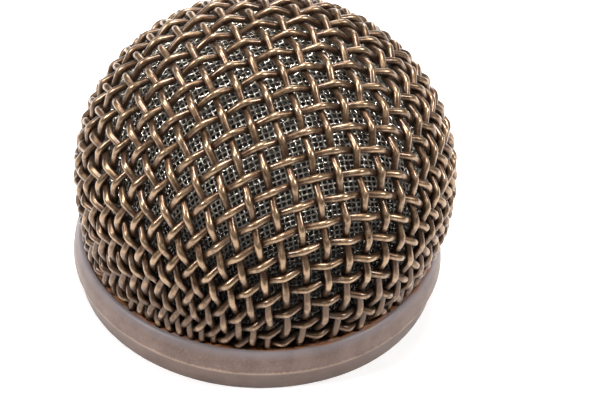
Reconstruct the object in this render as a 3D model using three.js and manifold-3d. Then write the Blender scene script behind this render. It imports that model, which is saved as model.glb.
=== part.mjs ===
// A ball-shaped microphone pop filter: a coarse woven wire cloth over a fine woven screen and a foam
// liner, all gripped by a channel ring in a moulded collar. Millimetres, +Z up, resting on z = 0.
import * as THREE from "three";
import { mergeVertices } from "three/addons/utils/BufferGeometryUtils.js";
import Module from "manifold-3d";

const wasm = await Module();
wasm.setup();
const { Manifold, Mesh } = wasm;

// Driving dimensions
const ballRadius = 25.95; // to the outside of the woven cloth, at its widest
const equatorHeight = 17.2; // where the ball is widest
const crownRise = 23.1; // from there to the outside of the crown
const skirtRise = 28.6; // semi-axis of the part below, which tucks in towards the collar
const ballOffset = 0.35; // the ball stands this far to +X, and all that holds it as far to -X
const offsetFrom = 6.5; // heights between which the cloth leans over from the one to the other
const offsetTo = 13;
const wireDiameter = 0.9;
const wirePitch = 2.94;
const clothTurn = 21; // degrees about Z, which way the weave lies
const warpShift = 2; // how far each family lies off the crown, in net steps
const weftShift = 3;
const fit = 0.3; // clearance between neighbouring pieces
const facets = 48; // around a turned piece
const collarFacets = 60;
const shellFacets = 32; // around the screen and the foam, which are both cut into the same steps
const shellSteps = 8;

// The coarse cloth
const wave = 0.48; // how far a wire rides over or under the middle: its radius and a little clearance
const wireHalfWidth = 0.36; // of a wire's four-sided section, across the wire
const wireHalfDepth = 0.26; // and straight out of the cloth
const rowsEachSide = 17; // rows of wire on each side of the crown
const stepsPerCount = 4; // rows are counted in half pitches, and the net takes four steps to each
const reach = stepsPerCount * (2 * rowsEachSide + 5); // how far the cloth is worked out, in net steps
const crownGive = 0.26; // 0 lets the cloth shear only, 1 squeezes it in around the dome instead
const collarGive = 0.58;
const giveFrom = 80; // degrees down from the crown where the give starts to grow
const giveTo = 115;
const freeRows = 13; // rows that are pieces of their own; the lower ones belong to the edge ring

// The screen and the foam, as depths below the middle of the cloth
const screenDepth = wave + wireHalfDepth + fit;
const screenThickness = 0.6;
const foamDepth = screenDepth + screenThickness + fit;
const foamThickness = 3;

// The channel ring that grips the cut edges of both meshes
const ringFloor = 4.2; // underside of the channel
const ringSheet = 0.4; // its sheet metal
const ringInnerRadius = 18.4;
const ringOuterRadius = 23.75;
const ringInnerRise = 1.6; // height of the two walls above the underside
const ringOuterRise = 0.7;
const meshEdge = ringFloor + ringSheet + 2 * fit; // where the screen and the free wires stop

// The collar
const collarFootRadius = 24.45; // outside, at the flat bottom
const collarRidgeRadius = 25.55; // at the ridge between its two bands
const collarRidgeHeight = 3.45;
const collarTop = 6.6;
const collarTopRadius = 24.5;
const collarLipRadius = ringOuterRadius + fit;
const collarLedge = ringFloor - fit; // the ring sits on this
const collarBoreRadius = 17.7;
const collarChamfer = 0.3;

// The threaded sleeve
const sleeveOuterRadius = collarBoreRadius - fit;
const sleeveBoreRadius = 15.8;
const sleeveFoot = 0.4;
const sleeveTop = 6.2;
const sleeveFlangeRadius = ringInnerRadius - fit;

const group = new THREE.Group();
group.name = "pop_filter";

// The middle surface of the cloth: a half ellipsoid for the crown and a slower one for the skirt.
const middleRadius = ballRadius - wireDiameter;
const crownAxis = crownRise - wireDiameter;
const skirtAxis = skirtRise - wireDiameter;
// A step of the net is a quarter of half a pitch, taken as an angle about the dome's centre.
const netStep = wirePitch / (middleRadius + crownAxis) / stepsPerCount;

/** The dome's outline, as radius and height: an angle down from the crown and a depth below the cloth. */
function domePoint(angle, depth) {
  const axis = angle <= Math.PI / 2 ? crownAxis : skirtAxis;
  const radius = middleRadius * Math.sin(angle);
  const height = equatorHeight + axis * Math.cos(angle);
  const normal = new THREE.Vector2(Math.sin(angle) / middleRadius, Math.cos(angle) / axis).normalize();
  return new THREE.Vector2(radius - depth * normal.x, height - depth * normal.y);
}

/** The direction straight out of the cloth at a point on its middle surface. */
function outwardAt(point) {
  const axis = point.z >= equatorHeight ? crownAxis : skirtAxis;
  const rise = (point.z - equatorHeight) / axis ** 2;
  return new THREE.Vector3(point.x, point.y, rise * middleRadius ** 2).normalize();
}

/**
 * A quarter of the cloth as a fishnet on the unit sphere: square cells that can shear but not stretch.
 * It starts from two crossed lines over the crown, and each new knot is the last one turned half a
 * turn about the middle of its two neighbours.
 */
function fishnetQuarter() {
  const quarter = [];
  for (let i = 0; i <= reach; i += 1) {
    quarter.push([]);
    for (let j = 0; j <= reach; j += 1) {
      if (i === 0 || j === 0) {
        const along = Math.sin((i + j) * netStep);
        quarter[i].push(new THREE.Vector3(i ? along : 0, j ? along : 0, Math.cos((i + j) * netStep)));
        continue;
      }
      const corner = quarter[i - 1][j - 1];
      const first = quarter[i - 1][j];
      const second = quarter[i][j - 1];
      if (!corner || !first || !second) continue;
      const middle = first.clone().add(second).normalize();
      const knot = middle.multiplyScalar(2 * corner.dot(middle)).sub(corner);
      if (knot.z < Math.min(first.z, second.z)) quarter[i][j] = knot;
    }
  }
  return quarter;
}

/**
 * The woven cloth laid on the dome, as a function from two counts of net steps to a point. Real
 * cloth also gives way a little where a fishnet would shear flat, more so where the collar gathers it.
 */
function drapedCloth() {
  const quarter = fishnetQuarter();
  const turn = THREE.MathUtils.degToRad(clothTurn);
  return (i, j) => {
    const knot = quarter[Math.abs(i)][Math.abs(j)];
    if (!knot) return null;
    const netAngle = Math.acos(knot.z);
    const give = THREE.MathUtils.mapLinear(
      THREE.MathUtils.clamp(THREE.MathUtils.radToDeg(netAngle), giveFrom, giveTo),
      giveFrom, giveTo, crownGive, collarGive,
    );
    const angle = THREE.MathUtils.lerp(netAngle, Math.hypot(i, j) * netStep, give);
    const netAzimuth = Math.atan2(knot.y, knot.x);
    const azimuth = THREE.MathUtils.lerp(netAzimuth, Math.atan2(Math.abs(j), Math.abs(i)), give);
    const { x: radius, y: height } = domePoint(angle, 0);
    const x = Math.sign(i) * radius * Math.cos(azimuth);
    const y = Math.sign(j) * radius * Math.sin(azimuth);
    return new THREE.Vector3(x, y, height).applyAxisAngle(new THREE.Vector3(0, 0, 1), turn);
  };
}

/**
 * The line of one wire: its crossings above an end height, and a cut end at that height on each side.
 * A row that lies too low to reach round the ball has none.
 */
function wireLine(crossing, row, side, endHeight) {
  const stations = [];
  const lastColumn = 2 * rowsEachSide + 3;
  for (let column = -lastColumn; column <= lastColumn; column += 2) {
    const point = crossing(row, column);
    const isOver = ((row + column) / 2) % 2 === 0;
    if (point) stations.push({ point, lift: (isOver ? wave : -wave) * side });
  }
  const from = stations.findIndex(({ point }) => point.z > endHeight);
  const to = stations.findLastIndex(({ point }) => point.z > endHeight);
  if (to - from < 2) return null;
  const kept = stations.slice(from, to + 1);
  const cut = (inside, outside) => {
    const share = (inside.point.z - endHeight) / (inside.point.z - outside.point.z);
    return {
      point: inside.point.clone().lerp(outside.point, share),
      lift: THREE.MathUtils.lerp(inside.lift, outside.lift, share),
    };
  };
  return [cut(stations[from], stations[from - 1]), ...kept, cut(stations[to], stations[to + 1])];
}

/** A wire of four-sided section, with one ridge facing out of the cloth. */
function wireGeometry(stations) {
  const positions = [];
  const last = stations.length - 1;
  stations.forEach(({ point, lift }, k) => {
    const before = stations[Math.max(k - 1, 0)].point;
    const after = stations[Math.min(k + 1, last)].point;
    const out = outwardAt(point);
    const across = out.clone().cross(after.clone().sub(before)).normalize();
    const centre = point.clone().addScaledVector(out, lift);
    for (const [sideways, outwards] of [[1, 0], [0, 1], [-1, 0], [0, -1]]) {
      const corner = centre.clone();
      corner.addScaledVector(across, sideways * wireHalfWidth);
      corner.addScaledVector(out, outwards * wireHalfDepth);
      positions.push(...corner.toArray());
    }
  });
  const index = [0, 2, 1, 0, 3, 2];
  for (let k = 0; k < last; k += 1) {
    for (let side = 0; side < 4; side += 1) {
      const a = 4 * k + side;
      const b = 4 * k + ((side + 1) % 4);
      index.push(a, b, b + 4, a, b + 4, a + 4);
    }
  }
  const end = 4 * last;
  index.push(end, end + 1, end + 2, end, end + 2, end + 3);
  const geometry = new THREE.BufferGeometry();
  geometry.setAttribute("position", new THREE.Float32BufferAttribute(positions, 3));
  geometry.setIndex(index);
  return geometry;
}

/** A turned solid about Z, from the corners of its section as radius and height, anticlockwise. */
function turned(outline, segments = facets) {
  const corners = [...outline, outline[0]].map(([radius, height]) => new THREE.Vector2(radius, height));
  return new THREE.LatheGeometry(corners, segments).rotateX(Math.PI / 2);
}

/** A shell between two depths below the cloth, open at the bottom, cut level at a height. */
function domeShell(depth, thickness, rimHeight) {
  const side = (wallDepth) => {
    let low = Math.PI / 2;
    let high = Math.PI * 0.8;
    for (let turn = 0; turn < 40; turn += 1) {
      const middle = (low + high) / 2;
      if (domePoint(middle, wallDepth).y > rimHeight) low = middle;
      else high = middle;
    }
    const angles = Array.from({ length: shellSteps + 1 }, (_, k) => (low * k) / shellSteps);
    return angles.map((angle) => domePoint(angle, wallDepth));
  };
  const section = [...side(depth + thickness), ...side(depth).reverse()];
  return new THREE.LatheGeometry(section, shellFacets).rotateX(Math.PI / 2);
}

/** Moves a piece from the Z axis to where the ball stands, which leans over to it from the collar. */
function onBall(geometry) {
  const position = geometry.getAttribute("position");
  for (let k = 0; k < position.count; k += 1) {
    const share = THREE.MathUtils.smoothstep(position.getZ(k), offsetFrom, offsetTo);
    position.setX(k, position.getX(k) + THREE.MathUtils.lerp(-ballOffset, ballOffset, share));
  }
  return geometry;
}

/** Moves a piece from the Z axis to where the collar stands. */
function inBase(geometry) {
  return geometry.translate(-ballOffset, 0, 0);
}

function toManifold(geometry) {
  const bare = new THREE.BufferGeometry();
  bare.setAttribute("position", geometry.getAttribute("position"));
  bare.setIndex(geometry.getIndex());
  const merged = mergeVertices(bare, 1e-5);
  return new Manifold(new Mesh({
    numProp: 3,
    vertProperties: new Float32Array(merged.getAttribute("position").array),
    triVerts: new Uint32Array(merged.getIndex().array),
  }));
}

function fromManifold(solid) {
  const mesh = solid.getMesh();
  const geometry = new THREE.BufferGeometry();
  geometry.setAttribute("position", new THREE.BufferAttribute(mesh.vertProperties, 3));
  geometry.setIndex(new THREE.BufferAttribute(mesh.triVerts, 1));
  return geometry;
}

const bronze = () => new THREE.MeshStandardMaterial({ color: 0x8a6a45, roughness: 0.42, metalness: 0.9 });
const tin = () => new THREE.MeshStandardMaterial({ color: 0xb3a890, roughness: 0.4, metalness: 0.85 });
const brass = () => new THREE.MeshStandardMaterial({ color: 0xa98c4e, roughness: 0.4, metalness: 0.9 });
const foam = () => new THREE.MeshStandardMaterial({ color: 0x1d1b1a, roughness: 1, metalness: 0 });
const enamel = () => new THREE.MeshStandardMaterial({ color: 0x9a837b, roughness: 0.6, metalness: 0 });

function add(name, geometry, material) {
  const mesh = new THREE.Mesh(geometry, material);
  mesh.name = name;
  group.add(mesh);
}

// The cloth: wires of the warp run one way and wires of the weft the other, each over and under in turn.
const cloth = drapedCloth();
const crossing = (warpRow, weftRow) =>
  cloth(stepsPerCount * warpRow + warpShift, stepsPerCount * weftRow + weftShift);
const families = [
  { name: "warp_wire", side: -1, at: (row, column) => crossing(row, column) },
  { name: "weft_wire", side: 1, at: (row, column) => crossing(column, row) },
];
const lowWires = [];
for (const { name, side, at } of families) {
  let number = 0;
  for (let k = -rowsEachSide; k < rowsEachSide; k += 1) {
    const row = 2 * k + 1;
    const isFree = Math.abs(row) < 2 * freeRows;
    const stations = wireLine(at, row, side, isFree ? meshEdge : ringFloor + ringSheet / 2);
    if (!stations) continue;
    if (isFree) {
      number += 1;
      add(`${name}_${String(number).padStart(2, "0")}`, onBall(wireGeometry(stations)), bronze());
    } else {
      lowWires.push(toManifold(onBall(wireGeometry(stations))));
    }
  }
}

// The channel ring, with the lowest wires of the cloth, whose ends are soldered to its floor.
const channel = inBase(turned([
  [ringInnerRadius, ringFloor],
  [ringOuterRadius, ringFloor],
  [ringOuterRadius, ringFloor + ringOuterRise],
  [ringOuterRadius - ringSheet, ringFloor + ringOuterRise],
  [ringOuterRadius - ringSheet, ringFloor + ringSheet],
  [ringInnerRadius + ringSheet, ringFloor + ringSheet],
  [ringInnerRadius + ringSheet, ringFloor + ringInnerRise],
  [ringInnerRadius, ringFloor + ringInnerRise],
]));
const edgeRing = lowWires.reduce((solid, wire) => solid.add(wire), toManifold(channel));
add("edge_ring", fromManifold(edgeRing), brass());

// What lies behind the cloth
add("inner_screen", onBall(domeShell(screenDepth, screenThickness, meshEdge)), tin());
add("foam_liner", onBall(domeShell(foamDepth, foamThickness, sleeveTop + fit)), foam());

// The collar: a tapered lower band, a ridge, and a shoulder that rounds over to the lip.
const shoulder = new THREE.QuadraticBezierCurve(
  new THREE.Vector2(collarRidgeRadius, collarRidgeHeight),
  new THREE.Vector2(collarRidgeRadius - 0.1, collarTop - 0.6),
  new THREE.Vector2(collarTopRadius, collarTop),
);
add("collar", inBase(turned([
  [collarBoreRadius, 0],
  [collarFootRadius - collarChamfer, 0],
  [collarFootRadius, collarChamfer],
  [collarRidgeRadius - 0.25, collarRidgeHeight - 0.2],
  ...shoulder.getPoints(4).map((point) => point.toArray()),
  [collarLipRadius, collarTop - 0.15],
  [collarLipRadius, collarLedge],
  [collarBoreRadius, collarLedge],
], collarFacets)), enamel());

// The sleeve that screws onto the microphone; its flange stops it from dropping out of the collar.
add("threaded_sleeve", inBase(turned([
  [sleeveBoreRadius, sleeveFoot],
  [sleeveOuterRadius, sleeveFoot],
  [sleeveOuterRadius, collarLedge + fit],
  [sleeveFlangeRadius, collarLedge + fit],
  [sleeveFlangeRadius, sleeveTop],
  [sleeveBoreRadius, sleeveTop],
])), brass());

export default group;
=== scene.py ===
"""A ball-shaped microphone pop filter: coarse bronze wire cloth over a fine screen and a foam liner,
gripped by a channel ring in a moulded collar with a threaded sleeve. Metres, +Z up, resting on z = 0."""

import math

import bpy
import numpy as np
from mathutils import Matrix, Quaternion, Vector, noise


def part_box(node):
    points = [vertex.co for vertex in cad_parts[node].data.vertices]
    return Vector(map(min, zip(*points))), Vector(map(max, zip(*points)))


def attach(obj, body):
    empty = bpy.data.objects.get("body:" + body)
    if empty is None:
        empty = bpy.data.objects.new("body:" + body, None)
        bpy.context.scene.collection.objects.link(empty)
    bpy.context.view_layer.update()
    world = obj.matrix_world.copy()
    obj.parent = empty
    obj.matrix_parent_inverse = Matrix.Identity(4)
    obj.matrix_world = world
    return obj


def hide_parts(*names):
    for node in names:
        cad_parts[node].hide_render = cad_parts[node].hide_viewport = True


bl_info = {
    "name": "Microphone pop filter",
    "version": (1, 0, 0),
    "blender": (4, 5, 0),
    "location": "3D View > Sidebar > Pop Filter",
    "description": "Builds a woven wire microphone grille around its CAD model",
    "category": "Add Mesh",
}

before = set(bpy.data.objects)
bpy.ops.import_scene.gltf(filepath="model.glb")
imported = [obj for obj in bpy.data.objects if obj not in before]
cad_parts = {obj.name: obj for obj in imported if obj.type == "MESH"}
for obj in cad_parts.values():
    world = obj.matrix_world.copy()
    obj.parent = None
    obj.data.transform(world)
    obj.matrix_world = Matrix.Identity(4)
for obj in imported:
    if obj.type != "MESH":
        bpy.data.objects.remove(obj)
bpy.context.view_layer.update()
COLLAR_LOW, COLLAR_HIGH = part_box("collar")
RING_LOW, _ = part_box("edge_ring")
SLEEVE_LOW, SLEEVE_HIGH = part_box("threaded_sleeve")
FOAM_LOW, FOAM_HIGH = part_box("foam_liner")
BALL_MIDDLE = (FOAM_LOW + FOAM_HIGH) * 0.5
BASE_MIDDLE = (COLLAR_LOW + COLLAR_HIGH) * 0.5

# Net steps to half a coarse pitch. Coarse rows are counted in half pitches and fine rows in net steps.
STEPS_PER_COUNT = 4
# Degrees down from the crown where the cloth's give starts to change, and over how many it does.
GIVE_FROM = 80
GIVE_OVER = 35
# Height below which the cloth leans back over the collar, and how far down it takes.
LEAN_FROM = 0.0130
LEAN_OVER = 0.0065
# A wire's ride over the others is a wave with a little of its third overtone.
RIDE_WAVE = 0.93
RIDE_OVERTONE = 0.07
# A row with fewer points than this above its end height lies too low to be a wire.
FEWEST_POINTS = 4
# Sides of a coarse wire and of a fine one.
COARSE_SIDES = 10
FINE_SIDES = 4
# A coarse wire strays by two noises: their scales to the metre, the quick one's share, and a gain on both.
STRAY_SLOW = 260
STRAY_QUICK = 900
STRAY_SHARE = 0.6
STRAY_GAIN = 1.6
THREAD_DEPTH = 0.00040
# The glue bead's radius, and its middle's distance inside and below the collar's lip.
BEAD_RADIUS = 0.00045
BEAD_INSET = 0.00035
BEAD_DROP = 0.00060
# The floor lies a hair below the model's foot.
FLOOR_RADIUS = 1.6
FLOOR_HEIGHT = -0.00002


# ---------------------------------------------------------------------------------------------
# Sizes and colours
# ---------------------------------------------------------------------------------------------


def length(name, description, default):
    return bpy.props.FloatProperty(
        name=name,
        description=description,
        default=default,
        min=0.0,
        unit="LENGTH",
        subtype="DISTANCE",
        precision=5,
    )


def fraction(name, description, default):
    return bpy.props.FloatProperty(name=name, description=description, default=default, min=0, max=1)


def colour(name, description, default):
    return bpy.props.FloatVectorProperty(
        name=name, description=description, default=default, size=3, min=0.0, max=1.0, subtype="COLOR"
    )


class BallSizes(bpy.types.PropertyGroup):
    """The dome that both cloths are draped over, measured to the middle of the coarse cloth."""

    radius: length("Radius", "Half width of the ball at its widest", 0.0250)
    equator: length("Equator height", "Height of the widest place above the floor", 0.0172)
    crown: length("Crown rise", "From the equator up to the crown", 0.02215)
    skirt: length("Skirt rise", "Semi-axis of the part that tucks in below the equator", 0.0277)
    turn: bpy.props.FloatProperty(
        name="Cloth turn", description="Which way the weave lies", default=math.radians(21), subtype="ANGLE"
    )
    warp_shift: bpy.props.IntProperty(
        name="Warp shift", description="How far the warp lies off the crown, in eighths of a pitch", default=2
    )
    weft_shift: bpy.props.IntProperty(
        name="Weft shift", description="How far the weft lies off the crown, in eighths of a pitch", default=3
    )
    crown_give: fraction("Crown give", "0 shears the cloth only and 1 squeezes it in", 0.26)
    collar_give: fraction("Collar give", "The same, where the collar gathers the cloth", 0.58)


class ClothSizes(bpy.types.PropertyGroup):
    """The coarse outer cloth."""

    pitch: length("Pitch", "Distance from wire to wire", 0.00294)
    wire: length("Wire", "Diameter of a wire", 0.0010)
    wave: length("Wave", "How far a wire rides over or under the middle", 0.0005)
    end: length("Wire ends", "Height at which the wires stop inside the ring", 0.00485)
    rows: bpy.props.IntProperty(name="Rows", description="Rows on each side of the crown", default=17, min=1)
    free_rows: bpy.props.IntProperty(
        name="Free rows",
        description="Rows on each side that aren't gathered low at the ring",
        default=13,
        min=1,
    )
    wander: length("Wander", "How far a hand-formed wire strays sideways", 0.00006)


class ScreenSizes(bpy.types.PropertyGroup):
    """The fine screen behind the coarse cloth."""

    wire: length("Wire", "Diameter of a fine wire", 0.00024)
    wave: length("Wave", "How far a fine wire rides over or under the middle", 0.00014)
    depth: length("Depth", "Below the middle of the coarse cloth", 0.00138)
    end: length("Wire ends", "Height at which the fine wires stop", 0.0050)


class CollarSizes(bpy.types.PropertyGroup):
    """The moulded collar."""

    foot: length("Foot radius", "Outside radius at the flat bottom", 0.0246)
    ridge: length("Ridge radius", "Radius of the ridge between the two bands", COLLAR_HIGH.y)
    ridge_height: length("Ridge height", "Height of that ridge", 0.00345)
    top: length("Top", "Height of the lip", COLLAR_HIGH.z)
    lip: length("Lip radius", "Inside radius of the lip", 0.02405)
    ledge: length("Ledge height", "Where the channel ring sits", 0.0039)
    bore: length("Bore radius", "Radius of the hole for the sleeve", 0.0177)
    unevenness: length("Unevenness", "How far the moulding strays from round", 0.00004)


class RingSizes(bpy.types.PropertyGroup):
    """The channel ring and the threaded sleeve."""

    inner: length("Ring inner radius", "Inside of the channel's inner wall", 0.0184)
    outer: length("Ring outer radius", "Outside of the channel's outer wall", 0.02375)
    floor: length("Ring underside", "Height of the channel's underside", RING_LOW.z)
    sheet: length("Sheet", "Thickness of the channel's metal", 0.0004)
    wall: length("Wall", "Height of the channel's walls", 0.0010)
    sleeve_outer: length("Sleeve radius", "Outside of the sleeve's neck", 0.0174)
    sleeve_bore: length("Sleeve bore", "Radius inside the thread's roots", 0.0158)
    flange: length("Flange radius", "Outside of the sleeve's flange", SLEEVE_HIGH.y)
    thread: length("Thread pitch", "Rise of the thread in one turn", 0.0009)


class Colours(bpy.types.PropertyGroup):
    """The finishes."""

    bronze: colour("Bronze", "Wire where it is neither worn nor grimy", (0.080, 0.042, 0.022))
    # Besides patina and dirt, this colour paints the shade low on the ball, on the coarse wires and on the
    # fine screen.
    grime_and_shade: colour("Grime", "Patina and dirt between the wires", (0.012, 0.007, 0.004))
    worn: colour("Worn bronze", "Wire where hands have polished it", (0.33, 0.215, 0.125))
    screen: colour("Screen", "The fine tinned wire", (0.86, 0.79, 0.69))
    brass: colour("Brass", "Ring and sleeve", (0.52, 0.38, 0.16))
    foam: colour("Foam", "The liner", (0.012, 0.011, 0.010))
    enamel: colour("Collar", "Fawn moulded collar", (0.125, 0.079, 0.062))
    scuff: colour("Scuffs", "The collar where its paint has worn thin", (0.34, 0.24, 0.17))
    glue: colour("Glue", "Old brown glue between collar and cloth", (0.26, 0.095, 0.028))


class PopFilter(bpy.types.PropertyGroup):
    """Everything that a user would change."""

    ball: bpy.props.PointerProperty(type=BallSizes, name="Ball")
    cloth: bpy.props.PointerProperty(type=ClothSizes, name="Cloth")
    screen: bpy.props.PointerProperty(type=ScreenSizes, name="Screen")
    collar: bpy.props.PointerProperty(type=CollarSizes, name="Collar")
    ring: bpy.props.PointerProperty(type=RingSizes, name="Ring and sleeve")
    colours: bpy.props.PointerProperty(type=Colours, name="Colours")


# ---------------------------------------------------------------------------------------------
# Materials
# ---------------------------------------------------------------------------------------------


class Signal:
    """A value that varies over a surface. Sums written with it lay down Math nodes."""

    def __init__(self, tree, socket):
        self.tree = tree
        self.socket = socket

    def combine(self, operation, *terms):
        node = self.tree.nodes.new("ShaderNodeMath")
        node.operation = operation
        for slot, term in zip(node.inputs, terms, strict=False):
            if isinstance(term, Signal):
                self.tree.links.new(term.socket, slot)
            else:
                slot.default_value = term
        return Signal(self.tree, node.outputs["Value"])

    def __add__(self, other):
        return self.combine("ADD", self, other)

    def __radd__(self, other):
        return self.combine("ADD", other, self)

    def __sub__(self, other):
        return self.combine("SUBTRACT", self, other)

    def __rsub__(self, other):
        return self.combine("SUBTRACT", other, self)

    def __mul__(self, other):
        return self.combine("MULTIPLY", self, other)

    def __rmul__(self, other):
        return self.combine("MULTIPLY", other, self)

    def __truediv__(self, other):
        return self.combine("DIVIDE", self, other)

    def __pow__(self, other):
        return self.combine("POWER", self, other)

    def at_least(self, other):
        return self.combine("MAXIMUM", self, other)

    def at_most(self, other):
        return self.combine("MINIMUM", self, other)

    def unsigned(self):
        return self.combine("ABSOLUTE", self)

    def ramp(self, low, high):
        """0 at low and below, 1 at high and above, with a soft start and end."""
        node = self.tree.nodes.new("ShaderNodeMapRange")
        node.interpolation_type = "SMOOTHSTEP"
        self.tree.links.new(self.socket, node.inputs["Value"])
        node.inputs["From Min"].default_value = low
        node.inputs["From Max"].default_value = high
        return Signal(self.tree, node.outputs["Result"])


class Finish:
    """A material in the making, with one method that lays down any node."""

    def __init__(self, name):
        self.material = bpy.data.materials.new(name)
        self.material.use_nodes = True
        self.tree = self.material.node_tree
        self.tree.nodes.clear()
        self.place = self.lay("ShaderNodeTexCoord", output="Object")

    def lay(self, kind, settings=None, sockets=None, output=0):
        """A node of a kind: its settings first, then the values or links of its sockets."""
        node = self.tree.nodes.new(kind)
        for name, value in (settings or {}).items():
            setattr(node, name, value)
        for name, value in (sockets or {}).items():
            slot = node.inputs[name]
            if isinstance(value, Signal):
                self.tree.links.new(value.socket, slot)
            else:
                slot.default_value = value
        return Signal(self.tree, node.outputs[output])

    def noise(self, size, detail=2.0, roughness=0.5, place=None):
        """Cloudy noise from 0 to 1, with features of about that size in metres."""
        sockets = {
            "Vector": place or self.place,
            "Scale": 1.0 / size,
            "Detail": detail,
            "Roughness": roughness,
        }
        return self.lay("ShaderNodeTexNoise", {"noise_dimensions": "3D"}, sockets, "Fac")

    def specks(self, size):
        """Distance to the nearest of scattered points, for pits and specks."""
        return self.lay(
            "ShaderNodeTexVoronoi", {"feature": "F1"}, {"Vector": self.place, "Scale": 1.0 / size}, "Distance"
        )

    def mix(self, mask, first, second):
        """The first colour where mask is 0 and the second where it is 1. A colour mix takes them on
        sockets 6 and 7 and gives its result on output 2."""
        sockets = {0: mask, 6: opaque(first), 7: opaque(second)}
        return self.lay("ShaderNodeMix", {"data_type": "RGBA"}, sockets, 2)

    def measured(self, name):
        """A value stored with the mesh's points."""
        return self.lay("ShaderNodeAttribute", {"attribute_name": name}, output="Fac")

    def axis(self, which):
        sockets = {"Vector": self.place}
        return self.lay("ShaderNodeSeparateXYZ", None, sockets, which)

    def bump(self, height, distance, strength=1.0):
        sockets = {"Height": height, "Distance": distance, "Strength": strength}
        return self.lay("ShaderNodeBump", None, sockets, "Normal")

    def done(self, **sockets):
        """Ends in one Principled shader, given its sockets by name."""
        named = {name.replace("_", " "): value for name, value in sockets.items()}
        surface = self.lay("ShaderNodeBsdfPrincipled", None, named)
        self.lay_output(surface)
        return self.material

    def lay_output(self, surface):
        node = self.tree.nodes.new("ShaderNodeOutputMaterial")
        self.tree.links.new(surface.socket, node.inputs["Surface"])


def opaque(value):
    return value if isinstance(value, Signal) else (*value, 1.0)


def bronze_finish(colours):
    """Drawn bronze wire: dark with patina and dirt in its valleys, browned along its flanks and polished on
    its crests. Painted shade darkens it and dulls its crests towards the bottom of the ball.
    """
    finish = Finish("bronze_wire")
    crest = finish.measured("crest")
    blotches = finish.noise(0.0035, 3.0, 0.6)
    grain = finish.noise(0.00035, 4.0, 0.7)
    streaks = finish.noise(0.0011, 2.0, 0.5)
    # Painted shade: darker wire and dimmer polished crests towards the bottom of the ball.
    low = finish.axis("Z").ramp(0.022, 0.009) * 0.28
    grime_and_low_shade = (0.95 + low - crest * 1.25 + (blotches - 0.5) * 0.7 + (grain - 0.5) * 0.5).ramp(0.15, 0.95)
    worn = (crest * 1.2 - low + (streaks - 0.5) * 1.2 + (grain - 0.5) * 0.6).ramp(0.72, 1.25)
    shade = finish.mix(grime_and_low_shade, colours.bronze, colours.grime_and_shade)
    shade = finish.mix(worn * 0.75, shade, colours.worn)
    roughness = 0.40 + grime_and_low_shade * 0.22 - worn * 0.10 + (grain - 0.5) * 0.16
    relief = finish.bump(grain + streaks * 0.6, 0.00003, 0.35)
    return finish.done(
        Base_Color=shade,
        Metallic=0.85 - grime_and_low_shade * 0.55,
        Roughness=roughness,
        Normal=relief,
        Coat_Weight=0.35,
        Coat_Roughness=0.12,
    )


def screen_finish(colours):
    """Fine tinned wire, a little tarnished, and darkened towards the bottom of the ball by painted shade."""
    finish = Finish("tinned_screen")
    tarnish = finish.noise(0.0025, 3.0, 0.6).ramp(0.42, 0.75)
    grain = finish.noise(0.0003, 3.0, 0.6)
    dark = tuple(0.35 * part for part in colours.screen)
    shade = finish.mix(tarnish * 0.6, colours.screen, dark)
    # Painted shade: the screen fades to near-black brown towards the bottom of the ball.
    low_painted_shade = finish.axis("Z").ramp(0.031, 0.016)
    shade = finish.mix(low_painted_shade * 0.9, shade, colours.grime_and_shade)
    roughness = 0.26 + tarnish * 0.2 + (grain - 0.5) * 0.15
    return finish.done(
        Base_Color=shade, Metallic=0.95, Roughness=roughness, Normal=finish.bump(grain, 0.00001, 0.4)
    )


def brass_finish(colours):
    """Turned and pressed brass with a dull film."""
    finish = Finish("brass_ring")
    film = finish.noise(0.004, 4.0, 0.6).ramp(0.35, 0.7)
    grain = finish.noise(0.0002, 3.0, 0.6)
    dull = tuple(0.35 * part for part in colours.brass)
    shade = finish.mix(film, colours.brass, dull)
    roughness = 0.28 + film * 0.25 + (grain - 0.5) * 0.1
    relief = finish.bump(grain, 0.00002, 0.3)
    return finish.done(Base_Color=shade, Metallic=1.0 - film * 0.2, Roughness=roughness, Normal=relief)


def foam_finish(colours):
    """Black open-cell foam."""
    finish = Finish("foam")
    cells = finish.specks(0.0006)
    cloud = finish.noise(0.002, 3.0, 0.5)
    grey = tuple(2.6 * part for part in colours.foam)
    shade = finish.mix((cells * 1.3 + (cloud - 0.5) * 0.4).ramp(0.2, 0.8), colours.foam, grey)
    relief = finish.bump(cells, 0.0002, 0.9)
    return finish.done(Base_Color=shade, Roughness=0.9 + cells * 0.1, Normal=relief)


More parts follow.
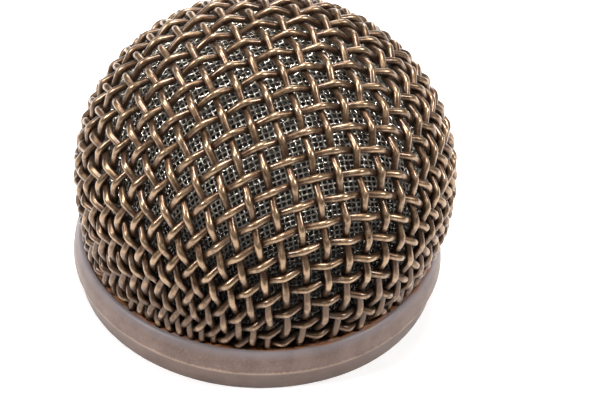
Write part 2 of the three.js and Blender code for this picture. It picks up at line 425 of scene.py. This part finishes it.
def enamel_finish(colours, sizes):
    """Fawn satin paint: faint mottling, a scuffed ridge, specks, and brown stains by the cloth, with painted
    shade on the lower band and a painted bluish highlight along the top by the lip.
    """
    finish = Finish("collar_enamel")
    x, y, z = finish.axis("X"), finish.axis("Y"), finish.axis("Z")
    radius = (x * x + y * y) ** 0.5
    mottle = finish.noise(0.0028, 4.0, 0.6)
    grain = finish.noise(0.00025, 3.0, 0.7)
    specks = finish.specks(0.0011)
    smear = finish.noise(0.006, 2.0, 0.5)
    light = tuple(min(1.0, 1.16 * part) for part in colours.enamel)
    dark = tuple(part * share for part, share in zip(colours.enamel, (0.78, 0.74, 0.72), strict=True))
    shade = finish.mix(mottle.ramp(0.3, 0.7), dark, light)
    shade = finish.mix((grain - 0.35).ramp(0.15, 0.4) * 0.12, shade, (0.60, 0.52, 0.46))

    ridge = 1.0 - ((z - sizes.ridge_height) / 0.00042).unsigned()
    scuffed = (ridge + (grain - 0.5) * 1.6 + (mottle - 0.5) * 1.4).ramp(0.2, 1.0)
    shade = finish.mix(scuffed * 0.7, shade, colours.scuff)
    # Painted shade: the lower band, which faces down, is darkened below the ridge.
    under = (z / sizes.ridge_height).ramp(1.0, 0.7) * 0.35
    shade = finish.mix(under, shade, dark)
    # Painted highlight: a pale bluish-grey sheen painted along the top of the collar by the lip.
    lip = (z / sizes.top).ramp(0.80, 1.0) * 0.55
    shade = finish.mix(lip, shade, (0.25, 0.23, 0.25))

    rim = (z / sizes.top).ramp(0.86, 1.0) * ((sizes.lip + 0.0009 - radius) / 0.0008).ramp(0.0, 1.0)
    stained = (rim + (smear - 0.55) * 2.0 + (grain - 0.5) * 0.5).ramp(0.55, 1.1)
    shade = finish.mix(stained * 0.85, shade, colours.glue)
    pits = specks.ramp(0.10, 0.03) * smear.ramp(0.45, 0.6)
    shade = finish.mix(pits * 0.8, shade, (0.06, 0.045, 0.04))

    roughness = 0.42 + (grain - 0.5) * 0.2 + scuffed * 0.15 + stained * 0.2
    relief = finish.bump(grain * 0.4 + mottle * 0.8 - scuffed * 0.3 - pits, 0.00005, 0.35)
    return finish.done(Base_Color=shade, Roughness=roughness, Normal=relief, Specular_IOR_Level=0.3)


def glue_finish(colours):
    """Brown glue, glossy where it is thick."""
    finish = Finish("old_glue")
    cloud = finish.noise(0.0016, 4.0, 0.6)
    dark = tuple(0.25 * part for part in colours.glue)
    shade = finish.mix(cloud.ramp(0.3, 0.7), dark, colours.glue)
    return finish.done(
        Base_Color=shade, Roughness=0.35 + cloud * 0.3, Normal=finish.bump(cloud, 0.0001, 0.6)
    )


def floor_finish():
    """A plain near-white floor."""
    finish = Finish("white_floor")
    soft = finish.noise(0.05, 2.0, 0.5)
    shade = finish.mix(soft, (0.90, 0.90, 0.90), (0.93, 0.93, 0.93))
    return finish.done(Base_Color=shade, Roughness=0.8, Emission_Color=shade, Emission_Strength=0.3)


# ---------------------------------------------------------------------------------------------
# The draped cloth
# ---------------------------------------------------------------------------------------------


def round_angles(count):
    """The angles of points spaced evenly round a circle."""
    return 2 * math.pi * np.arange(count) / count


def fishnet_quarter(step, reach):
    """A quarter of the cloth as a fishnet on the unit sphere: square cells that shear but don't stretch.
    It starts from two crossed lines over the crown, and each new knot is the last one turned half a turn
    about the middle of its two neighbours."""
    knots = {}
    for count in range(reach + 1):
        along, down = math.sin(count * step), math.cos(count * step)
        knots[count, 0] = Vector((along, 0.0, down))
        knots[0, count] = Vector((0.0, along, down))
    for i in range(1, reach + 1):
        for j in range(1, reach + 1):
            corner, first, second = knots.get((i - 1, j - 1)), knots.get((i - 1, j)), knots.get((i, j - 1))
            if not (corner and first and second):
                continue
            middle = (first + second).normalized()
            knot = middle * (2.0 * corner.dot(middle)) - corner
            if knot.z < min(first.z, second.z):
                knots[i, j] = knot
    table = np.full((reach + 1, reach + 1, 3), np.nan)
    for (i, j), knot in knots.items():
        table[i, j] = knot
    return table


class Drape:
    """Cloth laid over the ball, asked for by counts of net steps both ways."""

    def __init__(self, ball, cloth):
        self.ball = ball
        self.step = cloth.pitch / (ball.radius + ball.crown) / STEPS_PER_COUNT
        self.reach = STEPS_PER_COUNT * (2 * cloth.rows + 4)
        self.quarter = fishnet_quarter(self.step, self.reach + 2 * STEPS_PER_COUNT)

    def points(self, i, j):
        """Places on the middle of the coarse cloth, and the directions straight out of it."""
        ball = self.ball
        i, j = i + ball.warp_shift, j + ball.weft_shift
        knot = self.quarter[np.abs(i), np.abs(j)]
        net_angle = np.arccos(np.clip(knot[:, 2], -1, 1))
        gathered = np.clip((np.degrees(net_angle) - GIVE_FROM) / GIVE_OVER, 0, 1)
        give = ball.crown_give + (ball.collar_give - ball.crown_give) * gathered
        angle = net_angle + give * (np.hypot(i, j) * self.step - net_angle)
        azimuth = np.arctan2(knot[:, 1], knot[:, 0])
        azimuth = azimuth + give * (np.arctan2(np.abs(j), np.abs(i)) - azimuth)
        rise = np.where(angle <= math.pi / 2, ball.crown, ball.skirt)
        radius = ball.radius * np.sin(angle)
        x = np.sign(i) * radius * np.cos(azimuth)
        y = np.sign(j) * radius * np.sin(azimuth)
        z = ball.equator + rise * np.cos(angle)
        c, s = math.cos(ball.turn), math.sin(ball.turn)
        place = np.stack([c * x - s * y, s * x + c * y, z], axis=1)
        out = place * [1, 1, 0] / ball.radius**2
        out[:, 2] = (z - ball.equator) / rise**2
        settled = np.clip((LEAN_FROM - z) / LEAN_OVER, 0, 1)
        settled = settled * settled * (3 - 2 * settled)
        place[:, 0] += BALL_MIDDLE.x + (BASE_MIDDLE.x - BALL_MIDDLE.x) * settled
        return place, out / np.linalg.norm(out, axis=1, keepdims=True)


def wire_path(drape, row, side, spacing, wave, end, depth=0.0):
    """One wire from cut end to cut end: its centreline, the outward direction and its ride over the others.
    Side is -1 for a warp wire and 1 for a weft wire, and spacing is its half pitch in net steps.
    Nothing comes back for a row that lies too low to reach round the ball."""
    along = np.arange(-drape.reach, drape.reach + 1)
    across = np.full_like(along, row)
    i, j = (across, along) if side < 0 else (along, across)
    place, out = drape.points(i, j)
    phase = math.pi * (row + along) / (2 * spacing)
    ride = side * (RIDE_WAVE * np.cos(phase) + RIDE_OVERTONE * np.cos(3 * phase))
    line = place + out * (ride * wave - depth)[:, None]
    kept = np.nonzero(place[:, 2] - depth * out[:, 2] > end)[0]
    if len(kept) < FEWEST_POINTS:
        return None
    first, last = kept[0] - 1, kept[-1] + 1
    line, out, ride = line[first : last + 1], out[first : last + 1], ride[first : last + 1]
    for tip, inside in ((0, 1), (-1, -2)):
        reached = (line[inside, 2] - end) / max(line[inside, 2] - line[tip, 2], 1e-9)
        line[tip] = line[inside] + (line[tip] - line[inside]) * min(max(reached, 0.1), 1.0)
    return line, out, ride


def unit(vectors):
    return vectors / np.maximum(np.linalg.norm(vectors, axis=1, keepdims=True), 1e-12)


def tube(line, out, radius, sides):
    """A round wire along a line: its points, its faces and, for each point, how far it faces outwards."""
    along = unit(np.gradient(line, axis=0))
    across = unit(np.cross(out, along))
    up = np.cross(along, across)
    turn = round_angles(sides)
    ring = np.cos(turn)[None, :, None] * across[:, None, :] + np.sin(turn)[None, :, None] * up[:, None, :]
    points = (line[:, None, :] + radius * ring).reshape(-1, 3)
    base = sides * np.arange(len(line) - 1)[:, None]
    here, beside = np.arange(sides)[None, :], (np.arange(sides)[None, :] + 1) % sides
    quads = np.stack([base + here, base + beside, base + beside + sides, base + here + sides], axis=2)
    faces = quads.reshape(-1, 4).tolist()
    faces.append(list(range(sides - 1, -1, -1)))
    tail = sides * (len(line) - 1)
    faces.append(list(range(tail, tail + sides)))
    return points, faces, np.tile(np.sin(turn), len(line))


def joined(parts):
    """Several bodies as one list of points, one of faces and one of a value per point."""
    points, faces, values, base = [], [], [], 0
    for some_points, some_faces, some_values in parts:
        points.append(some_points)
        values.append(some_values)
        faces.extend([[corner + base for corner in face] for face in some_faces])
        base += len(some_points)
    return np.concatenate(points), faces, np.concatenate(values)


def make_piece(name, points, faces, material, stands_for=(), crest=None):
    """A smooth-shaded mesh object that rides on the model's one body."""
    mesh = bpy.data.meshes.new(name)
    mesh.from_pydata(np.asarray(points).tolist(), [], faces)
    mesh.polygons.foreach_set("use_smooth", [True] * len(mesh.polygons))
    if crest is not None:
        layer = mesh.attributes.new("crest", "FLOAT", "POINT")
        layer.data.foreach_set("value", np.asarray(crest, dtype=np.float32))
    mesh.materials.append(material)
    mesh.update()
    piece = bpy.data.objects.new(name, mesh)
    bpy.context.scene.collection.objects.link(piece)
    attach(piece, "root")
    if stands_for:
        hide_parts(*stands_for)
    return piece


def sharpen(piece, angle):
    """Keeps edges crisp where two faces meet at more than an angle, in degrees."""
    with bpy.context.temp_override(object=piece, active_object=piece, selected_editable_objects=[piece]):
        bpy.ops.object.shade_smooth_by_angle(angle=math.radians(angle))


# ---------------------------------------------------------------------------------------------
# Turned pieces
# ---------------------------------------------------------------------------------------------


def eased(corners, steps=4):
    """A closed outline of (radius, height, easing) corners, each rounded by its easing length."""
    outline = []
    for k, (radius, height, easing) in enumerate(corners):
        here = np.array([radius, height])
        if easing <= 0:
            outline.append(here)
            continue
        before = np.array(corners[k - 1][:2])
        after = np.array(corners[(k + 1) % len(corners)][:2])
        start = here + (before - here) * min(0.45, easing / np.linalg.norm(before - here))
        end = here + (after - here) * min(0.45, easing / np.linalg.norm(after - here))
        for t in np.linspace(0, 1, steps + 1):
            outline.append((1 - t) ** 2 * start + 2 * t * (1 - t) * here + t**2 * end)
    return np.array(outline)


def turned(outline, segments, middle, shape=None):
    """A closed body turned about an upright axis through middle, from an anticlockwise outline. shape may
    move its points."""
    turn = round_angles(segments)
    radius, height = outline[:, 0], outline[:, 1]
    points = np.stack(
        [
            np.outer(np.cos(turn), radius),
            np.outer(np.sin(turn), radius),
            np.tile(height, (segments, 1)),
        ],
        axis=2,
    ).reshape(-1, 3)
    count = len(outline)
    base = count * np.arange(segments)[:, None]
    ahead = count * ((np.arange(segments) + 1) % segments)[:, None]
    here, beside = np.arange(count)[None, :], (np.arange(count)[None, :] + 1) % count
    faces = np.stack([base + here, ahead + here, ahead + beside, base + beside], axis=2).reshape(-1, 4)
    if shape:
        points = np.array([shape(Vector(point)) for point in points])
    return points + [middle.x, 0, 0], faces.tolist()


# ---------------------------------------------------------------------------------------------
# Operators
# ---------------------------------------------------------------------------------------------


def stray(row, side, line, out, most):
    """Sideways wander of a wire, which a loom and a press leave in it."""
    along = unit(np.gradient(line, axis=0))
    across = np.cross(out, along)
    seed = Vector((row * 0.37, side * 5.0, 2.0))
    drift = []
    for point in line:
        slow = noise.noise(Vector(point) * STRAY_SLOW + seed)
        quick = noise.noise(Vector(point) * STRAY_QUICK + seed)
        drift.append(slow + STRAY_SHARE * quick)
    return line + across * (np.array(drift) * most * STRAY_GAIN)[:, None]


class POPFILTER_OT_coarse_cloth(bpy.types.Operator):
    """Weaves the coarse bronze cloth and lays it over the ball"""

    bl_idname = "pop_filter.coarse_cloth"
    bl_label = "Coarse cloth"

    def execute(self, context):
        settings = context.scene.pop_filter
        cloth = settings.cloth
        drape = Drape(settings.ball, cloth)
        bronze = bronze_finish(settings.colours)
        half = cloth.wire / 2
        for family, side in (("warp", -1), ("weft", 1)):
            free, gathered = [], []
            for k in range(-cloth.rows, cloth.rows):
                row = 2 * k + 1
                path = wire_path(
                    drape, STEPS_PER_COUNT * row, side, STEPS_PER_COUNT, cloth.wave, cloth.end
                )
                if not path:
                    continue
                line, out, ride = path
                line = stray(row, side, line, out, cloth.wander)
                points, faces, facing = tube(line, out, half, COARSE_SIDES)
                height = np.repeat(ride, COARSE_SIDES) * cloth.wave + facing * half
                crest = height / (cloth.wave + half)
                is_free = abs(row) < 2 * cloth.free_rows
                (free if is_free else gathered).append((points, faces, crest * 0.5 + 0.5))
            names = [f"{family}_wire_{number + 1:02d}" for number in range(len(free))]
            points, faces, crest = joined(free)
            make_piece(f"coarse_{family}_wires", points, faces, bronze, names, crest)
            points, faces, crest = joined(gathered)
            make_piece(f"gathered_{family}_wires", points, faces, bronze, (), crest)
        return {"FINISHED"}


class POPFILTER_OT_fine_screen(bpy.types.Operator):
    """Weaves the fine screen behind the coarse cloth"""

    bl_idname = "pop_filter.fine_screen"
    bl_label = "Fine screen"

    def execute(self, context):
        settings = context.scene.pop_filter
        screen = settings.screen
        drape = Drape(settings.ball, settings.cloth)
        tinned = screen_finish(settings.colours)
        widest = 2 * STEPS_PER_COUNT * settings.cloth.rows
        for family, side in (("warp", -1), ("weft", 1)):
            wires = []
            for row in range(1 - widest, widest, 2):
                path = wire_path(drape, row, side, 1, screen.wave, screen.end, screen.depth)
                if path:
                    line, out, _ = path
                    wires.append(tube(line, out, screen.wire / 2, FINE_SIDES))
            points, faces, _ = joined(wires)
            stands_for = ["inner_screen"] if family == "warp" else ()
            make_piece(f"screen_{family}_wires", points, faces, tinned, stands_for)
        return {"FINISHED"}


class POPFILTER_OT_foam_liner(bpy.types.Operator):
    """Forms the foam liner inside the screen"""

    bl_idname = "pop_filter.foam_liner"
    bl_label = "Foam liner"

    thickness: length("Thickness", "Of the foam", 0.003)
    depth: length("Depth", "Of its outside below the middle of the cloth", 0.00194)

    def execute(self, context):
        settings = context.scene.pop_filter
        ball = settings.ball
        rim = FOAM_LOW.z

        def side(depth):
            """The dome's outline at a depth, from the rim up to the crown."""
            outline = []
            for angle in np.radians(np.linspace(125, 0, 90)):
                rise = ball.crown if angle <= math.pi / 2 else ball.skirt
                out = Vector((math.sin(angle) / ball.radius, math.cos(angle) / rise)).normalized()
                radius = ball.radius * math.sin(angle) - depth * out.x
                height = ball.equator + rise * math.cos(angle) - depth * out.y
                if height > rim + 0.0004:
                    outline.append((max(radius, 0.0), height))
            return outline

        outer, inner = side(self.depth), side(self.depth + self.thickness)
        bulge = [((outer[0][0] + inner[0][0]) / 2, rim + 0.0001)]
        outline = np.array([*inner[::-1][1:], *bulge, *outer[:-1]])

        def cells(point):
            away = Vector((point.x, point.y, point.z - ball.equator)).normalized()
            return point + away * (0.00008 * noise.noise(point * 1500) + 0.00010 * noise.noise(point * 500))

        points, faces = dome(outline, 120, BALL_MIDDLE, cells)
        black = foam_finish(settings.colours)
        piece = make_piece("open_cell_foam", points, faces, black, ["foam_liner"])
        return {"FINISHED"}


def dome(outline, segments, middle, shape):
    """A turned body whose outline starts and ends near the axis, closed there by two round faces."""
    points, faces = turned(outline, segments, middle, shape)
    count = len(outline)
    faces = [face for face in faces if not {face[0] % count, face[3] % count} == {0, count - 1}]
    faces.append([count * k for k in range(segments)][::-1])
    faces.append([count * k + count - 1 for k in range(segments)])
    return points, faces


class POPFILTER_OT_channel_ring(bpy.types.Operator):
    """Presses the channel ring that grips the cut edges of both cloths"""

    bl_idname = "pop_filter.channel_ring"
    bl_label = "Channel ring"

    def execute(self, context):
        settings = context.scene.pop_filter
        ring = settings.ring
        low, sheet, wall = ring.floor, ring.sheet, ring.wall
        outline = eased(
            [
                (ring.inner, low, 0.0003),
                (ring.outer, low, 0.0003),
                (ring.outer, low + wall, 0.00018),
                (ring.outer - sheet, low + wall, 0.00018),
                (ring.outer - sheet, low + sheet, 0.0002),
                (ring.inner + sheet, low + sheet, 0.0002),
                (ring.inner + sheet, low + wall, 0.00018),
                (ring.inner, low + wall, 0.00018),
            ]
        )

        def dented(point):
            return point * (1 + 0.0015 * noise.noise(point * 180))

        points, faces = turned(outline, 160, BASE_MIDDLE, dented)
        brass = brass_finish(settings.colours)
        piece = make_piece("pressed_channel_ring", points, faces, brass, ["edge_ring"])
        sharpen(piece, 40)
        return {"FINISHED"}


class POPFILTER_OT_collar(bpy.types.Operator):
    """Moulds the collar, with its two bands, the ridge between them and the lip round the cloth"""

    bl_idname = "pop_filter.collar"
    bl_label = "Collar"

    def execute(self, context):
        settings = context.scene.pop_filter
        collar = settings.collar
        ridge, height, top, lip = collar.ridge, collar.ridge_height, collar.top, collar.lip
        shoulder = []
        for t in np.linspace(0, 1, 9):
            start = np.array([ridge - 0.00006, height + 0.00030])
            pull = np.array([ridge - 0.00016, top - 0.0007])
            end = np.array([lip + 0.00050, top - 0.00002])
            point = (1 - t) ** 2 * start + 2 * t * (1 - t) * pull + t**2 * end
            shoulder.append((*point, 0.0))
        outline = eased(
            [
                (collar.bore, 0.0, 0.00015),
                (collar.foot, 0.0, 0.00012),
                (ridge - 0.00032, height - 0.00040, 0.0006),
                (ridge - 0.00008, height - 0.00015, 0.00012),
                (ridge, height + 0.00006, 0.00012),
                *shoulder,
                (lip + 0.00010, top + 0.00001, 0.00012),
                (lip, top - 0.00025, 0.00012),
                (lip, collar.ledge, 0.0002),
                (collar.bore, collar.ledge, 0.00015),
            ]
        )

        def moulded(point):
            around = Vector((point.x, point.y, 0)).normalized()
            slow = noise.noise(Vector((around.x * 2.2, around.y * 2.2, point.z * 120)))
            quick = noise.noise(point * 900)
            foot = min(1.0, point.z / 0.001)
            sway = collar.unevenness * (slow + 0.25 * quick)
            return point + around * sway + Vector((0, 0, 0.4 * sway * foot * (point.z > collar.ledge)))

        points, faces = turned(outline, 300, BASE_MIDDLE, moulded)
        enamel = enamel_finish(settings.colours, collar)
        piece = make_piece("moulded_collar", points, faces, enamel, ["collar"])
        sharpen(piece, 50)
        return {"FINISHED"}


class POPFILTER_OT_sleeve(bpy.types.Operator):
    """Turns the sleeve and cuts the thread that screws onto the microphone"""

    bl_idname = "pop_filter.sleeve"
    bl_label = "Threaded sleeve"

    def execute(self, context):
        settings = context.scene.pop_filter
        ring, collar = settings.ring, settings.collar
        foot, top = SLEEVE_LOW.z, SLEEVE_HIGH.z
        neck = collar.ledge + 0.0003
        bore = [(ring.sleeve_bore, z, 0.0) for z in np.linspace(top - 0.0003, foot + 0.0003, 54)]
        outline = eased(
            [
                (ring.sleeve_bore + 0.0003, foot, 0.0),
                (ring.sleeve_outer, foot, 0.0002),
                (ring.sleeve_outer, neck, 0.0001),
                (ring.flange, neck, 0.0002),
                (ring.flange, top, 0.0003),
                (ring.sleeve_bore + 0.0003, top, 0.0),
                *bore,
            ]
        )

        def threaded(point):
            radius = math.hypot(point.x, point.y)
            if abs(radius - ring.sleeve_bore) > 0.00001:
                return point
            turns = (point.z - foot) / ring.thread - math.atan2(point.y, point.x) / (2 * math.pi)
            tooth = abs((turns % 1.0) - 0.5) * 2
            deep = THREAD_DEPTH * min(1.0, max(0.0, tooth * 1.5 - 0.25))
            return Vector((point.x * (radius - deep) / radius, point.y * (radius - deep) / radius, point.z))

        points, faces = turned(outline, 128, BASE_MIDDLE, threaded)
        brass = brass_finish(settings.colours)
        piece = make_piece("cut_thread_sleeve", points, faces, brass, ["threaded_sleeve"])
        sharpen(piece, 40)
        return {"FINISHED"}


class POPFILTER_OT_glue(bpy.types.Operator):
    """Runs the bead of old brown glue between the collar and the cloth"""

    bl_idname = "pop_filter.glue"
    bl_label = "Glue bead"

    def execute(self, context):
        settings = context.scene.pop_filter
        lip, top = settings.collar.lip, settings.collar.top
        centre = np.array([lip - BEAD_INSET, top - BEAD_DROP])
        turn = round_angles(14)
        outline = centre + BEAD_RADIUS * np.stack([np.cos(turn), 0.9 * np.sin(turn)], axis=1)

        def lumpy(point):
            away = math.hypot(point.x, point.y)
            around = Vector((point.x, point.y, 0)) / away
            core = Vector((around.x * centre[0], around.y * centre[0], centre[1]))
            swell = 1 + 0.5 * noise.noise(around * 9) + 0.35 * noise.noise(point * 1600)
            return core + (point - core) * swell + Vector((0, 0, 0.00012 * noise.noise(around * 14)))

        points, faces = turned(outline, 360, BASE_MIDDLE, lumpy)
        make_piece("glue_bead", points, faces, glue_finish(settings.colours))
        return {"FINISHED"}


class POPFILTER_OT_stage(bpy.types.Operator):
    """Sets the pale floor, the soft lights and the camera"""

    bl_idname = "pop_filter.stage"
    bl_label = "Stage"

    def execute(self, context):
        scene = context.scene
        turn = round_angles(96)
        height = np.full(len(turn), FLOOR_HEIGHT)
        rim = np.stack([FLOOR_RADIUS * np.cos(turn), FLOOR_RADIUS * np.sin(turn), height], axis=1)
        mesh = bpy.data.meshes.new("floor")
        mesh.from_pydata(rim.tolist(), [], [list(range(len(rim)))])
        mesh.materials.append(floor_finish())
        floor = bpy.data.objects.new("floor", mesh)
        scene.collection.objects.link(floor)

        lamps = (
            ("top_softbox", (-0.05, 0.12, 0.75), 0.22, 7.5),
            ("left_softbox", (-0.50, -0.15, 0.50), 0.15, 4.2),
            ("right_softbox", (0.50, -0.10, 0.55), 0.15, 4.0),
            ("front_softbox", (0.05, -0.60, 0.60), 0.15, 0.6),
            ("back_softbox", (0.05, 0.60, 0.35), 0.25, 2.0),
        )
        target = Vector((0, 0, 0.02))
        for name, place, size, power in lamps:
            data = bpy.data.lights.new(name, "AREA")
            data.shape = "SQUARE"
            data.size = size
            data.energy = power
            lamp = bpy.data.objects.new(name, data)
            lamp.location = place
            lamp.rotation_mode = "QUATERNION"
            lamp.rotation_quaternion = (target - Vector(place)).to_track_quat("-Z", "Y")
            scene.collection.objects.link(lamp)

        world = bpy.data.worlds.new("studio")
        world.use_nodes = True
        background = world.node_tree.nodes["Background"]
        background.inputs["Color"].default_value = (1.0, 1.0, 1.0, 1.0)
        background.inputs["Strength"].default_value = 0.12
        scene.world = world
        scene.view_settings.view_transform = "Standard"

        data = bpy.data.cameras.new("camera")
        data.lens = 134.28
        data.sensor_width = 36
        data.clip_start = 0.01
        data.clip_end = 10
        camera = bpy.data.objects.new("camera", data)
        camera.location = (-0.00035, -0.2339, 0.20986)
        aim = Vector((0.0051, -0.0048, 0.01603))
        camera.rotation_mode = "QUATERNION"
        level = (aim - camera.location).to_track_quat("-Z", "Y")
        roll = math.radians(2.98)
        camera.rotation_quaternion = level @ Quaternion((0, 0, 1), roll)
        scene.collection.objects.link(camera)
        scene.camera = camera
        return {"FINISHED"}


STEPS = (
    POPFILTER_OT_stage,
    POPFILTER_OT_coarse_cloth,
    POPFILTER_OT_fine_screen,
    POPFILTER_OT_foam_liner,
    POPFILTER_OT_channel_ring,
    POPFILTER_OT_collar,
    POPFILTER_OT_sleeve,
    POPFILTER_OT_glue,
)


class POPFILTER_PT_build(bpy.types.Panel):
    """Lists the pieces in building order"""

    bl_label = "Pop Filter"
    bl_idname = "POPFILTER_PT_build"
    bl_space_type = "VIEW_3D"
    bl_region_type = "UI"
    bl_category = "Pop Filter"

    def draw(self, context):
        for step in STEPS:
            self.layout.operator(step.bl_idname)
        settings = context.scene.pop_filter
        for part in ("ball", "cloth", "screen", "collar", "ring", "colours"):
            group = getattr(settings, part)
            box = self.layout.box()
            for name in group.bl_rna.properties.keys():
                if name not in ("rna_type", "name"):
                    box.prop(group, name)


CLASSES = (
    BallSizes,
    ClothSizes,
    ScreenSizes,
    CollarSizes,
    RingSizes,
    Colours,
    PopFilter,
    *STEPS,
    POPFILTER_PT_build,
)


def register():
    for each in CLASSES:
        bpy.utils.register_class(each)
    bpy.types.Scene.pop_filter = bpy.props.PointerProperty(type=PopFilter)


def unregister():
    del bpy.types.Scene.pop_filter
    for each in reversed(CLASSES):
        bpy.utils.unregister_class(each)


def main():
    """Builds every piece."""
    register()
    for step in STEPS:
        group, name = step.bl_idname.split(".")
        getattr(getattr(bpy.ops, group), name)()


if __name__ == "__main__":
    main()
